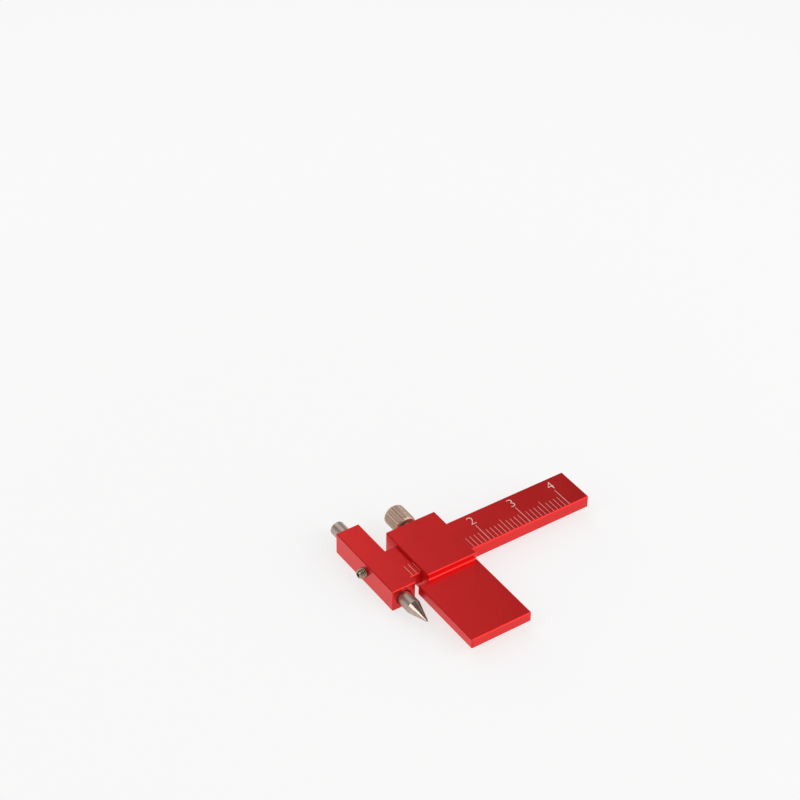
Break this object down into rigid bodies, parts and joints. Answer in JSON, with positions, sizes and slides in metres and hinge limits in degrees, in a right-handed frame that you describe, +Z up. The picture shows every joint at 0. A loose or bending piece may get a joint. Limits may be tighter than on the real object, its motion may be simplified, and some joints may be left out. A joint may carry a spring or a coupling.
{
  "type": "parallel scribing ruler",
  "caption": "Small marking gauge: a millimetre-graduated beam with a cross head that holds a pointed steel scriber, and a sliding guide plate locked by a knurled thumb screw.",
  "frame": {"origin": "on the resting plane under the head, directly below the scriber's axis, on the beam's centreline", "axes": "+X along the beam towards its free end, +Y to the rear, where the thumb screw is, +Z up, out of the graduated face"},
  "size_m": [0.0512, 0.0436, 0.006],
  "materials": {
    "anodised_red": "fine bead-blasted, red anodised",
    "stainless_steel": "turned and straight-knurled",
    "tool_steel": "ground",
    "black_oxide_steel": "black oxide",
    "brass": "turned"
  },
  "bodies": {
    "beam": {"scale_beam": "anodised_red"},
    "fence": {"sliding_fence": "anodised_red"},
    "pad": {"clamp_pad": "brass"},
    "clamp_screw": {"thumb_screw": "stainless_steel"},
    "scriber": {"scriber": "tool_steel"},
    "set_screw": {"set_screw": "black_oxide_steel"}
  },
  "joints": [
    {"name": "fence_slide", "type": "slide", "parent": "beam", "child": "fence", "axis": [1, 0, 0], "range_m": [-0.0013, 0.034]},
    {"name": "clamp_feed", "type": "slide", "parent": "fence", "child": "pad", "axis": [0, 1, 0], "range_m": [0, 0.0009]},
    {"name": "clamp_turn", "type": "hinge", "parent": "pad", "child": "clamp_screw", "pos_m": [0.01128, 0.01195, 0.00365], "axis": [0, 1, 0], "range_deg": [0, 720]},
    {"name": "scriber_slide", "type": "slide", "parent": "beam", "child": "scriber", "axis": [0, -1, 0], "range_m": [-0.0033, 0.0037]},
    {"name": "set_screw_turn", "type": "hinge", "parent": "beam", "child": "set_screw", "pos_m": [-0.00286, 0.00395, 0.00245], "axis": [-1, 0, 0], "range_deg": [0, 360]}
  ],
  "couplings": [
    {"joint": "clamp_turn", "follows": "clamp_feed", "rad_per_m": 13963}
  ]
}
